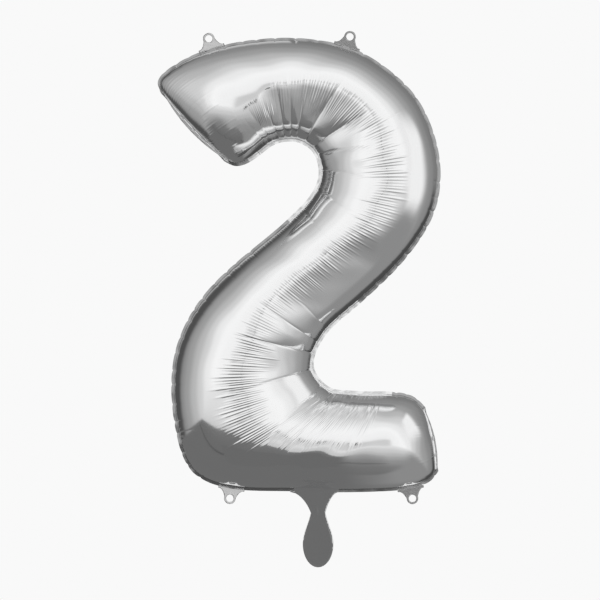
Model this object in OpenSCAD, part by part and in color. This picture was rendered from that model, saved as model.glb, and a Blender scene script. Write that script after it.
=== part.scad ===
// Foil number balloon, the figure two, inflated and held upright.
// The figure stands in the XZ plane and its front faces -Y. The origin is
// where a ribbon ties round the neck, under the sole of the figure.
// Every film is drawn at the thickness given here, which is a little more
// than the real films have.

/* [Figure] */
// Height of the foil figure, without tabs and tail
figure_height = 860; // [600:10:1000]
// How far the front and the back stand out from the seam, as a share of the drawn depth
fullness = 1; // [0.8:0.05:1.1]
// Width of the welded seam round the edge
seam_w = 6; // [5:0.5:8]
// Thickness of one foil panel
foil_t = 0.1; // [0.08:0.01:0.12]
// Space between the two panels at the seam, which the weld and the tabs fill
seal_t = 0.3; // [0.24:0.02:0.4]

/* [Neck and tail] */
// Width of the neck at its narrowest
neck_w = 28; // [26:1:34]
// Greatest width of the tail
tail_w = 58; // [50:1:70]
// Length of the tail below the neck
tail_length = 104; // [90:1:120]
// Diameter of the filling hole in the tail's back
inlet_d = 12; // [8:1:14]
// Width of the weld along the tail's edge
tail_seal_w = 4; // [3:0.5:6]

/* [Valve] */
// Width of the two valve films
valve_w = 22; // [18:1:24]
// Width of the printed release strip between them
release_w = 12; // [8:1:14]
// Height of the valve's free end above the neck
valve_top = 140; // [100:5:180]

/* [Hanging tabs] */
// Width of a tab where it leaves the seam
tab_base_w = 50; // [44:1:56]
// Length of a tab, from the fold to the tip
tab_length = 28; // [26:1:34]
// Radius of a tab's rounded tip
tab_tip_r = 11; // [10:0.5:12]
// Diameter of the hole in a tab
tab_hole_d = 14; // [10:1:15]

/* [Smoothness] */
// Steps across a panel, from seam to seam
steps_across = 16; // [12:2:18]
// Steps from one rib to the next along the figure
steps_per_rib = 2; // [1:1:2]
// Steps over each closed end of the figure
cap_steps = 7; // [5:1:8]

/* [Hidden] */

foil_colour = "silver";
foil_shade_colour = "darkgray";
weld_colour = "gray";
film_colour = "aliceblue";
print_colour = "steelblue";

// The figure is drawn on a grid on which it is 860 high.
grid = figure_height / 860;

// Ribs run across the stroke. Rib i goes from crown_points[i] to sole_points[i].
// The crown edge runs from the hook's tip over the top, down the right of the
// diagonal, round the lower bay and along the top of the foot.
crown_points = grid * [
    [-298, 795], [-304, 813], [-290, 836], [-240, 866], [-176, 887], [-115, 897], [-53, 900], [11, 894],
    [73, 877], [132, 841], [182, 793], [216, 729], [232, 653], [222, 574], [187, 509], [144, 457],
    [97, 412], [57, 377], [24, 348], [5, 322], [-5, 301], [-8, 278], [-1, 260], [11, 246], [29, 235],
    [55, 232], [87, 230], [119, 230], [143, 229], [165, 226], [186, 217], [203, 200]
];
// The sole edge runs from the hook's lip round the upper bay, down the left of
// the diagonal, round the heel and along the bottom of the foot.
sole_points = grid * [
    [-178, 666], [-157, 657], [-134, 662], [-112, 676], [-94, 690], [-75, 700], [-54, 703], [-37, 701],
    [-23, 694], [-12, 685], [-4, 671], [0, 655], [0, 634], [-8, 613], [-21, 593], [-42, 571],
    [-72, 543], [-108, 513], [-146, 482], [-189, 443], [-235, 387], [-270, 309], [-278, 223],
    [-266, 138], [-231, 71], [-151, 44], [-66, 41], [23, 39], [110, 40], [178, 46], [214, 61], [228, 79]
];
// How far the crest of the front stands out, at even steps along the ribs.
depth_points = grid * fullness * [92, 94, 104, 100, 114, 100, 88];
last_rib = len(crown_points) - 1;

// The hook's cut end and the foot's end are closed by the seam. Their middles
// bow outwards, and the front rises from them along an elliptical profile.
// A position along the figure is given in ribs, counted from the hook's end.
hook_bow = 8 * grid;
foot_bow = 6 * grid;
bow_ribs = 3;
hook_seam = 0.7;
foot_seam = last_rib - 0.4;
hook_cap = 3.8;
foot_cap = last_rib - 3.1;
cap_ease = 1.3;
rib_spacing_at_ends = 9 * grid;

foil_y = seal_t / 2;
outside_y = foil_y + foil_t;
release_t = seal_t / 3;

// Folds. Solids on the two sides of a fold stop short of it, so that the
// loose side can turn without rubbing on the fixed one.
fold_gap = 1;
tail_fold_z = -5;
valve_fold_z = 49;
tab_fold_out = 1.5;
tab_anchor_in = 3.5;
tab_shoulder = 9;

// Where the tabs sit along the edges, in ribs.
tab_places = [["crown", 3.6], ["crown", 7.7], ["sole", 24.85], ["sole", 28.95]];
tab_names = ["top_left", "top_right", "bottom_left", "bottom_right"];

// The neck flares into the sole, more on the heel side than on the toe side.
flare_top = 39.5 * grid;
flare_heel = 39;
flare_toe = 25;
flare_straight = 0.35;
tail_belly_z = -60;

// ---- Curves ----

function beyond(list, i) =
    i < 0 ? 2 * list[0] - list[1]
    : i >= len(list) ? 2 * list[len(list) - 1] - list[len(list) - 2]
    : list[i];

// Moves a spline's controls until the spline passes through the targets.
function settled(targets, controls, rounds = 14) =
    rounds == 0 ? controls
    : settled(targets, [
        for (i = [0:len(targets) - 1])
            controls[i] + targets[i]
                - (beyond(controls, i - 1) + 4 * controls[i] + beyond(controls, i + 1)) / 6
    ], rounds - 1);

// A uniform cubic B-spline, which has no kink and no jump in curvature.
function spline(controls, u) =
    let (at = min(max(u, 0), len(controls) - 1), i = min(floor(at), len(controls) - 2), f = at - i)
    (pow(1 - f, 3) * beyond(controls, i - 1)
        + (3 * pow(f, 3) - 6 * f * f + 4) * controls[i]
        + (-3 * pow(f, 3) + 3 * f * f + 3 * f + 1) * beyond(controls, i + 1)
        + pow(f, 3) * beyond(controls, i + 2)) / 6;

crown_controls = settled(crown_points, crown_points);
sole_controls = settled(sole_points, sole_points);
depth_controls = settled(depth_points, depth_points);

function crown(u) = spline(crown_controls, u);
function sole(u) = spline(sole_controls, u);
function depth(u) = spline(depth_controls, u * (len(depth_points) - 1) / last_rib);
function middle(u) = (crown(u) + sole(u)) / 2;
function unit(v) = v / norm(v);
function edge_direction(controls, u) = unit(spline(controls, u + 0.05) - spline(controls, u - 0.05));
function slant(a, b) = max(0.35, abs(a[0] * b[1] - a[1] * b[0]));

// How much of its height the front has at rib position u: 0 at the end seams, 1 between the caps.
function cap_share(u) =
    u <= hook_seam || u >= foot_seam ? 0
    : u < hook_cap ? norm(middle(u) - middle(hook_seam)) / norm(middle(hook_cap) - middle(hook_seam))
    : u > foot_cap ? norm(middle(u) - middle(foot_seam)) / norm(middle(foot_cap) - middle(foot_seam))
    : 1;
function rise(u) = sqrt(1 - pow(1 - min(1, cap_share(u)), 2));

function bow(u) =
    u < bow_ribs ? hook_bow * pow(1 - u / bow_ribs, 2)
    : u > last_rib - bow_ribs ? -foot_bow * pow(1 - (last_rib - u) / bow_ribs, 2)
    : 0;

// A point across rib u, in the XZ plane: across is 0 at the crown edge and 180
// at the sole edge, and inset moves both ends of the rib inwards.
function rib_point(u, across, inset) =
    let (a = crown(u), b = sole(u), along = unit(b - a),
         a_in = a + along * inset / slant(along, edge_direction(crown_controls, u)),
         b_in = b - along * inset / slant(along, edge_direction(sole_controls, u)),
         outwards = [along[1], -along[0]])
    a_in + (b_in - a_in) * (1 - cos(across)) / 2 + outwards * bow(u) * pow(sin(across), 2);

// ---- The two panels ----

hook_stations = [for (k = [0:cap_steps]) hook_seam + (hook_cap - hook_seam) * pow(k / cap_steps, cap_ease)];
foot_stations = [
    for (k = [cap_steps:-1:0]) foot_seam - (foot_seam - foot_cap) * pow(k / cap_steps, cap_ease)
];
middle_count = round((foot_cap - hook_cap) * steps_per_rib);
middle_stations = [for (k = [1:middle_count - 1]) hook_cap + (foot_cap - hook_cap) * k / middle_count];
stations = concat([0], hook_stations, middle_stations, foot_stations, [last_rib]);

// The inside of an end lies a foil's thickness inside its outside.
function inner_station(u) =
    let (shift = foil_t / rib_spacing_at_ends * (1 - min(1, cap_share(u))))
    u >= hook_seam && u < hook_cap ? u + shift
    : u > foot_cap && u <= foot_seam ? u - shift
    : u;

// One closed loop round the section of the panel at rib position u.
function panel_section(u) =
    let (v = inner_station(u), high = depth(u) * rise(u),
         turns = [for (k = [0:steps_across]) 180 * k / steps_across],
         flat = [rib_point(u, 0, 0), rib_point(u, 180, 0)])
    concat(
        [[flat[0][0], -outside_y, flat[0][1]]],
        [for (t = turns) let (p = rib_point(u, t, seam_w)) [p[0], -outside_y - high * sin(t), p[1]]],
        [[flat[1][0], -outside_y, flat[1][1]], [flat[1][0], -foil_y, flat[1][1]]],
        [for (k = [steps_across:-1:0])
            let (t = turns[k], p = rib_point(v, t, seam_w + foil_t)) [p[0], -foil_y - high * sin(t), p[1]]],
        [[flat[0][0], -foil_y, flat[0][1]]]
    );

module panel() {
    sections = [for (u = stations) panel_section(u)];
    around = len(sections[0]);
    rows = len(sections);
    half = around / 2;
    sides = [
        for (r = [0:rows - 2], k = [0:around - 1])
            let (n = (k + 1) % around, a = r * around + k, b = r * around + n, c = a + around, d = b + around)
            each [[a, b, d], [a, d, c]]
    ];
    ends = [
        for (r = [0, rows - 1], k = [0:half - 2])
            let (a = r * around + k, b = a + 1, c = r * around + around - 1 - k, d = c - 1)
            each r == 0 ? [[a, c, d], [a, d, b]] : [[a, b, d], [a, d, c]]
    ];
    polyhedron([for (s = sections) each s], concat(sides, ends), convexity = 10);
}

module front_panel() {
    color(foil_colour) panel();
}

module back_panel() {
    color(foil_colour) mirror([0, 1, 0]) panel();
}

// ---- Flat films ----

// Lays a flat outline, drawn with Z upwards on the page, between two depths.
module film(from_y, to_y) {
    translate([0, to_y, 0]) rotate([90, 0, 0]) linear_extrude(to_y - from_y) children();
}

module edge_outline(inset) {
    first = inset > 0 ? hook_seam : 0;
    last = inset > 0 ? foot_seam : last_rib;
    inside = [for (u = stations) if (u >= first && u <= last) u];
    turns = [for (k = [1:steps_across - 1]) 180 * k / steps_across];
    polygon(concat(
        [for (u = inside) rib_point(u, 0, inset)],
        [for (t = turns) rib_point(last, t, inset)],
        [for (k = [len(inside) - 1:-1:0]) rib_point(inside[k], 180, inset)],
        [for (k = [len(turns) - 1:-1:0]) rib_point(first, turns[k], inset)]
    ));
}

module valve_outline(from_z, to_z) {
    translate([-valve_w / 2, from_z]) square([valve_w, to_z - from_z]);
}

function tab_controls(place) = place[0] == "crown" ? crown_controls : sole_controls;
function tab_spot(place) = spline(tab_controls(place), place[1]);
// Direction from the seam to the tab's tip, as an angle from +X towards +Z.
function tab_heading(place) =
    let (d = edge_direction(tab_controls(place), place[1]))
    place[0] == "crown" ? atan2(d[0], -d[1]) : atan2(-d[0], d[1]);

// Puts an outline drawn with its fold on the X axis and its tip along +Y on a tab's place.
module at_tab(i) {
    place = tab_places[i];
    out = tab_heading(place);
    translate(tab_spot(place) + tab_fold_out * [cos(out), sin(out)]) rotate(out - 90) children();
}

module tab_anchor_outline(i) {
    at_tab(i) translate([-tab_base_w / 2, -tab_fold_out - tab_anchor_in])
        square([tab_base_w, tab_fold_out + tab_anchor_in - fold_gap]);
}

// A tab is a ring on a stem, with a shoulder that slopes out to the full width at the fold.
module tab_outline() {
    hole_out = tab_length - tab_tip_r;
    difference() {
        union() {
            polygon([
                [-tab_base_w / 2, fold_gap], [tab_base_w / 2, fold_gap],
                [tab_tip_r, tab_shoulder], [-tab_tip_r, tab_shoulder]
            ]);
            translate([-tab_tip_r, fold_gap]) square([2 * tab_tip_r, hole_out - fold_gap]);
            translate([0, hole_out]) circle(r = tab_tip_r, $fn = 48);
        }
        translate([0, hole_out]) circle(d = tab_hole_d, $fn = 48);
    }
}

module perimeter_heat_seal() {
    color(weld_colour) film(-foil_y, foil_y) difference() {
        edge_outline(0);
        edge_outline(seam_w);
        valve_outline(0, valve_fold_z);
        for (i = [0:len(tab_places) - 1]) tab_anchor_outline(i);
    }
}

module tab_anchor(i) {
    color(film_colour) film(-foil_y, foil_y) tab_anchor_outline(i);
}

module tab(i) {
    color(film_colour) film(-foil_y, foil_y) at_tab(i) tab_outline();
}

// ---- Neck and tail ----

// The neck's half width at height z: a straight start, then a quarter round.
function flare(z, wide) =
    let (share = min(1, z / flare_top))
    neck_w / 2 + wide * (flare_straight * share + (1 - flare_straight) * (1 - sqrt(1 - share * share)));
function tail_half(z) =
    z < tail_belly_z
    ? tail_w / 2 * sqrt(max(0, 1 - pow((z - tail_belly_z) / (tail_length + tail_belly_z), 2)))
    : let (turn = 90 * z / tail_belly_z, swell = (sin(turn) + (1 - cos(2 * turn)) / 2) / 2)
      neck_w / 2 + (tail_w - neck_w) / 2 * swell;

module neck_and_tail_outline() {
    levels = [for (k = [0:10]) flare_top * k / 10];
    rounds = [for (k = [1:11]) tail_belly_z * k / 11];
    tips = [for (k = [1:10]) tail_belly_z - (tail_length + tail_belly_z) * sin(90 * k / 10)];
    down = concat(rounds, tips);
    top = flare_top + 6 * grid;
    polygon(concat(
        [[-flare(flare_top, flare_heel), top]],
        [for (k = [10:-1:0]) [-flare(levels[k], flare_heel), levels[k]]],
        [for (z = down) [-tail_half(z), z]],
        [for (k = [len(down) - 2:-1:0]) [tail_half(down[k]), down[k]]],
        [for (z = levels) [flare(z, flare_toe), z]],
        [[flare(flare_top, flare_toe), top]]
    ));
}

module between(low_z, high_z) {
    translate([-tail_w, low_z]) square([2 * tail_w, high_z - low_z]);
}

module neck_outline() {
    difference() {
        intersection() {
            neck_and_tail_outline();
            between(tail_fold_z + fold_gap, 2 * flare_top);
        }
        edge_outline(0);
    }
}

module tail_outline() {
    intersection() {
        neck_and_tail_outline();
        between(-2 * tail_length, tail_fold_z - fold_gap);
    }
}

module tail_channel_outline() {
    offset(delta = -tail_seal_w) neck_and_tail_outline();
}

module neck_front_foil() {
    color(foil_shade_colour) film(-outside_y, -foil_y) neck_outline();
}

module neck_back_foil() {
    color(foil_shade_colour) film(foil_y, outside_y) neck_outline();
}

module neck_side_welds() {
    color(weld_colour) film(-foil_y, foil_y) difference() {
        neck_outline();
        valve_outline(2 * tail_fold_z, valve_fold_z);
    }
}

module tail_front_foil() {
    color(foil_shade_colour) film(-outside_y, -foil_y) tail_outline();
}

// The filling hole goes through the tail's back foil and the valve's back film.
module filling_hole() {
    translate([0, outside_y + 1, tail_belly_z]) rotate([90, 0, 0])
        cylinder(d = inlet_d, h = outside_y + 1 - release_t / 2, $fn = 48);
}

module tail_back_foil() {
    color(foil_shade_colour) difference() {
        film(foil_y, outside_y) tail_outline();
        filling_hole();
    }
}

module tail_edge_seal() {
    color(weld_colour) film(-foil_y, foil_y) difference() {
        tail_outline();
        tail_channel_outline();
    }
}

// ---- Valve ----

valve_bottom = tail_belly_z - valve_w / 2;
inlet_film_high = tail_fold_z - fold_gap;
neck_film_low = tail_fold_z + fold_gap;
neck_film_high = valve_fold_z - fold_gap;
sleeve_low = valve_fold_z + fold_gap;

module valve_neck_film(side) {
    color(film_colour) film(side > 0 ? release_t / 2 : -foil_y, side > 0 ? foil_y : -release_t / 2)
        valve_outline(neck_film_low, neck_film_high);
}

module valve_sleeve_film(side) {
    color(film_colour) film(side > 0 ? release_t / 2 : -foil_y, side > 0 ? foil_y : -release_t / 2)
        valve_outline(sleeve_low, valve_top);
}

module valve_inlet_front_film() {
    color(film_colour) film(-foil_y, -release_t / 2) valve_outline(valve_bottom, inlet_film_high);
}

module valve_inlet_back_film() {
    color(film_colour) difference() {
        film(release_t / 2, foil_y) valve_outline(valve_bottom, inlet_film_high);
        filling_hole();
    }
}

module valve_side_welds(low_z, high_z) {
    weld_w = (valve_w - release_w) / 2;
    color(weld_colour) film(-release_t / 2, release_t / 2)
        for (x = [-valve_w / 2, release_w / 2])
            translate([x, low_z]) square([weld_w, high_z - low_z]);
}

module valve_release_print() {
    color(print_colour) film(-release_t / 2, release_t / 2)
        translate([-release_w / 2, neck_film_low]) square([release_w, neck_film_high - neck_film_low]);
}

front_panel();
back_panel();
perimeter_heat_seal();
neck_front_foil();
neck_back_foil();
neck_side_welds();
tail_front_foil();
tail_back_foil();
tail_edge_seal();
valve_neck_film(-1);  // valve_neck_front_film
valve_neck_film(1);  // valve_neck_back_film
valve_side_welds(neck_film_low, neck_film_high);  // valve_neck_side_welds
valve_release_print();
valve_sleeve_film(-1);  // valve_sleeve_front_film
valve_sleeve_film(1);  // valve_sleeve_back_film
valve_side_welds(sleeve_low, valve_top);  // valve_sleeve_side_welds
valve_inlet_front_film();
valve_inlet_back_film();
for (i = [0:len(tab_places) - 1]) {
    tab_anchor(i);
    tab(i);
}
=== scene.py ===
import math

import bpy
import numpy as np
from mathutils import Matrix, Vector
from mathutils.geometry import delaunay_2d_cdt


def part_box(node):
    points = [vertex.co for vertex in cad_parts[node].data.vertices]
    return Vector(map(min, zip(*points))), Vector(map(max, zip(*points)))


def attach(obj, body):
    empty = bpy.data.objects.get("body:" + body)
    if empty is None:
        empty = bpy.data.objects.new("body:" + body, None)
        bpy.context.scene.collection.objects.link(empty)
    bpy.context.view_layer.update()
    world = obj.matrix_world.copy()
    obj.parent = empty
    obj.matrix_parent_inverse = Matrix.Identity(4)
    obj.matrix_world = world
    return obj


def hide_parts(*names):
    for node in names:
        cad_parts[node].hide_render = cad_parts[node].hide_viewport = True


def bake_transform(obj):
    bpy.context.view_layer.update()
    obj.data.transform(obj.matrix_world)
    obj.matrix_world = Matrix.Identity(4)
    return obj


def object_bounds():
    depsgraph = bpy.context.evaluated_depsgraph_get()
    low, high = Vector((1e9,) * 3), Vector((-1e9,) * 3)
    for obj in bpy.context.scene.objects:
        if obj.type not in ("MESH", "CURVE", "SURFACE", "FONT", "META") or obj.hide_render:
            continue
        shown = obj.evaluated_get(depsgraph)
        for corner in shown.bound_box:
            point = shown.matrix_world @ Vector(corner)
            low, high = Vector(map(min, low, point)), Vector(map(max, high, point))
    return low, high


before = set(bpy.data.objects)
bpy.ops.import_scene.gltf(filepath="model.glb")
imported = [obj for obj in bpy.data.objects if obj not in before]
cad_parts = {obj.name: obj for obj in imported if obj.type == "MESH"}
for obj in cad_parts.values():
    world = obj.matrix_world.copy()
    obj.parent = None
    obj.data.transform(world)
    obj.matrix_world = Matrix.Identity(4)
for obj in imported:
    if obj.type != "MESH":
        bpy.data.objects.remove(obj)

# A silver foil balloon in the figure two. The two big foils are built as fine
# meshes over the same ribs as the CAD panels, and then get the folds that
# inflating a flat foil makes: long creases, fine pleats and a puckered seam.
# Lengths are in millimetres until a mesh is made. A place on a foil is given by
# its rib, u, and the angle across it: 0 at the crown edge, 180 at the sole edge.

cad_low, cad_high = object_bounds()
MM = 0.001

# ---- The figure's lines: rib i goes from CROWN[i] to SOLE[i] ----

CROWN = [
    (-298, 795), (-304, 813), (-290, 836), (-240, 866), (-176, 887), (-115, 897), (-53, 900), (11, 894),
    (73, 877), (132, 841), (182, 793), (216, 729), (232, 653), (222, 574), (187, 509), (144, 457),
    (97, 412), (57, 377), (24, 348), (5, 322), (-5, 301), (-8, 278), (-1, 260), (11, 246), (29, 235),
    (55, 232), (87, 230), (119, 230), (143, 229), (165, 226), (186, 217), (203, 200),
]
SOLE = [
    (-178, 666), (-157, 657), (-134, 662), (-112, 676), (-94, 690), (-75, 700), (-54, 703), (-37, 701),
    (-23, 694), (-12, 685), (-4, 671), (0, 655), (0, 634), (-8, 613), (-21, 593), (-42, 571),
    (-72, 543), (-108, 513), (-146, 482), (-189, 443), (-235, 387), (-270, 309), (-278, 223),
    (-266, 138), (-231, 71), (-151, 44), (-66, 41), (23, 39), (110, 40), (178, 46), (214, 61), (228, 79),
]
# Height of a foil over the rim, and the angle across of its crest, at even steps along the ribs.
DEPTH = [92, 94, 104, 100, 114, 100, 88]
CREST = [108, 90, 81, 92, 96, 92, 92]
LAST_RIB = len(CROWN) - 1
HOOK_SEAM, FOOT_SEAM = 0.7, LAST_RIB - 0.4
HOOK_CAP, FOOT_CAP = 3.8, LAST_RIB - 3.1
RISE_POWER = 2.5
HOOK_BOW, FOOT_BOW, BOW_RIBS = 8, 6, 3
SEAM_W = 6
OUTSIDE_Y = 0.25
FOIL_T = 0.1


def widened(controls):
    """The controls with one more at each end, in line with the last two."""
    return np.vstack([2 * controls[0] - controls[1], controls, 2 * controls[-1] - controls[-2]])


def settled(targets):
    """Controls of the uniform cubic B-spline that passes through the targets."""
    targets = np.array(targets, float)
    controls = targets.copy()
    for _ in range(14):
        wide = widened(controls)
        controls = controls + (targets - (wide[:-2] + 4 * wide[1:-1] + wide[2:]) / 6)
    return controls


def spline(controls, u):
    """Point of the curve at rib u."""
    u = np.clip(np.asarray(u, float), 0, len(controls) - 1)
    wide = widened(controls)
    i = np.minimum(u.astype(int), len(controls) - 2)
    f = (u - i)[..., None]
    return ((1 - f) ** 3 * wide[i] + (3 * f**3 - 6 * f**2 + 4) * wide[i + 1]
            + (-3 * f**3 + 3 * f**2 + 3 * f + 1) * wide[i + 2] + f**3 * wide[i + 3]) / 6


CROWN_C, SOLE_C = settled(CROWN), settled(SOLE)
DEPTH_C = settled([(0, d) for d in DEPTH])
CREST_C = settled([(0, d) for d in CREST])


def along_ribs(controls, u):
    """A quantity given at even steps along all ribs."""
    return spline(controls, np.asarray(u) * (len(controls) - 1) / LAST_RIB)[..., 1]


def middle(u):
    """Point halfway between the two edges."""
    return (spline(CROWN_C, u) + spline(SOLE_C, u)) / 2


def direction(controls, u):
    """Unit vector along an edge."""
    d = spline(controls, u + 0.05) - spline(controls, u - 0.05)
    return d / np.linalg.norm(d, axis=-1, keepdims=True)


def rise(u):
    """Share of its full height that a foil has: it rises from the end seams, steeply at first."""
    def share(seam, cap):
        gone = np.linalg.norm(middle(u) - middle(np.array(seam)), axis=-1)
        return gone / np.linalg.norm(middle(np.array(cap)) - middle(np.array(seam)))

    part = np.where(u < HOOK_CAP, share(HOOK_SEAM, HOOK_CAP), 1.0)
    part = np.where(u > FOOT_CAP, share(FOOT_SEAM, FOOT_CAP), part)
    part = np.where((u <= HOOK_SEAM) | (u >= FOOT_SEAM), 0.0, np.minimum(part, 1))
    return (1 - (1 - part) ** RISE_POWER) ** (1 / RISE_POWER)


def bow(u):
    """How far the middle of a rib near the two ends bulges along the figure."""
    hook = HOOK_BOW * np.clip(1 - u / BOW_RIBS, 0, 1) ** 2
    foot = FOOT_BOW * np.clip(1 - (LAST_RIB - u) / BOW_RIBS, 0, 1) ** 2
    return hook - foot


def smooth(value, low, high):
    """0 at low and 1 at high, with a smooth change between."""
    x = np.clip((value - low) / (high - low), 0, 1)
    return x * x * (3 - 2 * x)


def skewed(u, across):
    """Moves the crest off the middle of the ribs."""
    shift = (90 - along_ribs(CREST_C, u)) / np.cos(np.radians(90 - along_ribs(CREST_C, u)))
    return across + shift * np.sin(np.radians(across))


# Flat sides next to the crest: (ribs where it begins and is full, fades and ends, side, slope).
FLATS = [(4.3, 5.5, 9.0, 11.5, 1, 0.45), (14.2, 15.4, 17.4, 19.6, -1, 0.47)]
FLAT_ROUND = 0.02


def section(u, across):
    """Height across the ribs as a share of the crest's: round, with flat sides where the film is taut."""
    high = np.sin(np.radians(skewed(u, across)))
    crest = np.cos(np.radians(along_ribs(CREST_C, u)))
    for first, full, fade, last, side, slope in FLATS:
        weight = smooth(u, first, full) * smooth(u, last, fade)
        line = 1 - slope * np.clip((crest - np.cos(np.radians(across))) * side, 0, None)
        lower = (high + line - np.sqrt((high - line) ** 2 + FLAT_ROUND**2)) / 2
        high = high + weight * np.where(high > 0.05, lower - high, 0)
    return high


def run_length(points):
    """Length from the first point to each point of a line."""
    return np.append(0, np.cumsum(np.linalg.norm(np.diff(points, axis=0), axis=1)))


# Lengths along the crest and along both edges at many ribs.
U_FINE = np.linspace(0, LAST_RIB, 6001)
S_FINE = run_length(np.column_stack([middle(U_FINE), along_ribs(DEPTH_C, U_FINE) * rise(U_FINE)]))
CROWN_S, SOLE_S = run_length(spline(CROWN_C, U_FINE)), run_length(spline(SOLE_C, U_FINE))


def crest_length(u):
    return np.interp(u, U_FINE, S_FINE)


def rib_at(length):
    return np.interp(length, S_FINE, U_FINE)


# ---- Puckers of the seam ----

# Stretches of each edge that pucker: (seed, first rib, last rib, pitch).
CROWN_PUCKERS = [(11, 0, 17.5, 33), (12, 27.8, LAST_RIB, 24)]
SOLE_PUCKERS = [(13, 17.2, 24.2, 30), (14, 28.6, LAST_RIB, 26)]
NOTCH_DEPTH, NOTCH_WIDTH = 2.4, 3.2
DENT_DEPTH, DENT_WIDTH = 1.3, 2.2


def notches(lengths, puckers):
    """Places along an edge, in millimetres, where the seam is pulled in, each with its depth."""
    made = []
    for seed, first, last, pitch in puckers:
        rng = np.random.default_rng(seed)
        at, stop = np.interp([first, last], U_FINE, lengths)
        at += pitch * rng.uniform(0.3, 0.7)
        while at < stop:
            made.append((at, rng.uniform(0.5, 1.0)))
            at += pitch * rng.uniform(0.72, 1.28)
    return made


CROWN_NOTCHES, SOLE_NOTCHES = notches(CROWN_S, CROWN_PUCKERS), notches(SOLE_S, SOLE_PUCKERS)


def pull(length, places, width):
    """How far the edge is pulled in at a length along it: round lobes with sharp notches between."""
    total = np.zeros_like(length)
    for at, deep in places:
        total += deep * np.exp(-np.abs(length - at) / width)
    return total


# Waves of the welded strip: (length, height). Where the seam isn't taut, its edge also lies back.
RIPPLE = [(19.0, 0.35), (31.0, 0.6), (57.0, 0.6)]
FLANGE_BACK = 2.4


def ripple(length, seed):
    """Out-of-plane waviness of the welded strip."""
    rng = np.random.default_rng(seed)
    total = np.zeros_like(length)
    for wave, high in RIPPLE:
        total += high * np.sin(2 * np.pi * length / wave * rng.uniform(0.9, 1.1) + rng.uniform(0, 6.28))
    return total


# ---- Long creases: (rib at the crest end, rib at the seam, across at the crest end, strength) ----

UPPER_CREASES = [
    (3.40, 4.25, 122, 0.5), (3.80, 4.65, 112, 0.6), (4.65, 5.20, 106, 0.6), (5.40, 5.65, 84, 0.8),
    (6.00, 6.20, 80, 0.8), (6.65, 6.75, 84, 0.9), (8.15, 7.60, 72, 1.1), (9.75, 8.75, 80, 1.1),
    (11.30, 9.65, 86, 0.9), (12.40, 11.10, 100, 0.7), (13.85, 13.00, 98, 0.7), (15.2, 14.6, 118, 0.4),
]
LOWER_CREASES = [
    (17.80, 18.20, 86, 0.35), (18.90, 19.10, 107, 0.5), (20.30, 19.95, 105, 1.1), (22.25, 21.20, 99, 1.1),
    (24.25, 23.00, 97, 1.1), (25.15, 23.90, 97, 0.6), (25.35, 24.15, 74, 0.9), (26.2, 25.2, 60, 0.4),
]
GROOVE_DEPTH, GROOVE_WIDTH = 1.15, 1.4
SWELL_SHARE, SWELL_CHORD = 0.042, 40


def crease_height(u, across, creases, seam_across, rng_seed):
    """Bulges between neighbouring long creases, and the sharp groove of each crease."""
    rng = np.random.default_rng(rng_seed)
    swell = rng.uniform(0.75, 1.25, len(creases))
    height = np.zeros_like(u)
    crest_rib, seam_rib, crest, strength = np.array(creases).T
    side = 1 if seam_across > 90 else -1
    for column in range(u.shape[1]):
        angle = across[0, column]
        if (angle - 90) * side < -35:
            continue  # every crease ends before this
        ribs = seam_rib + (crest_rib - seam_rib) * ((angle - seam_across) / (crest - seam_across))
        from_seam = abs(angle - seam_across)
        row_u = u[:, column]
        row_s = crest_length(row_u)
        shrink = chord_shrink(row_u, angle)
        deep = smooth((angle - crest) * side, -4, 34) * smooth(from_seam, 0, 16)
        for k in range(len(creases) - 1):
            low, high = ribs[k], ribs[k + 1]
            between = (row_u > low) & (row_u < high)
            if high <= low or not between.any():
                continue
            x = (row_u[between] - low) / (high - low)
            chord = (crest_length(high) - crest_length(low)) * shrink[between].mean()
            ends_deep = deep[k] * strength[k] * (1 - x) + deep[k + 1] * strength[k + 1] * x
            bulge = np.minimum(chord, SWELL_CHORD) * SWELL_SHARE * swell[k]
            height[between, column] += bulge * 4 * x * (1 - x) * ends_deep
        for k in range(len(creases)):
            distance = (row_s - crest_length(ribs[k])) * shrink
            taper = smooth((angle - crest[k]) * side, -6, 10) * smooth(from_seam, 0, 8)
            groove = GROOVE_DEPTH * strength[k] * taper
            height[:, column] -= groove * np.exp(-np.abs(distance) / GROOVE_WIDTH)
    return height


def chord_shrink(u, angle):
    """How much shorter a step along the figure is at this angle than at the crest."""
    u = np.asarray(u, float)
    a, b = spline(CROWN_C, u + 0.1), spline(SOLE_C, u + 0.1)
    c, d = spline(CROWN_C, u - 0.1), spline(SOLE_C, u - 0.1)
    share = (1 - math.cos(math.radians(angle))) / 2
    here = np.linalg.norm((a + (b - a) * share) - (c + (d - c) * share), axis=-1)
    crest = np.linalg.norm((a + b) / 2 - (c + d) / 2, axis=-1)
    return here / np.maximum(crest, 1e-6)


# ---- Fine pleats: (first rib, last rib, middle across, half length across, height) ----

PLEAT_BANDS = [
    (3.9, 5.4, 118, 17, 0.55), (5.2, 10.0, 95, 21, 0.70), (9.8, 14.6, 82, 21, 0.85),
    (14.4, 18.6, 88, 17, 0.75), (18.4, 20.2, 90, 17, 0.65), (20.0, 24.3, 90, 20, 0.95),
    (24.0, 27.3, 62, 32, 0.60),
]
PLEAT_PITCH = 4.7
SEAM_PLEATS = [
    (3.6, 15.5, 170, 14, 0.55), (15.0, 19.0, 166, 12, 0.25), (17.5, 27.5, 12, 13, 0.5),
    (10.5, 13.5, 156, 10, 0.40), (22.5, 26.8, 22, 12, 0.40),
    (21.2, 24.2, 171, 8, 0.4), (0.8, 3.4, 14, 10, 0.25),
]


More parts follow.
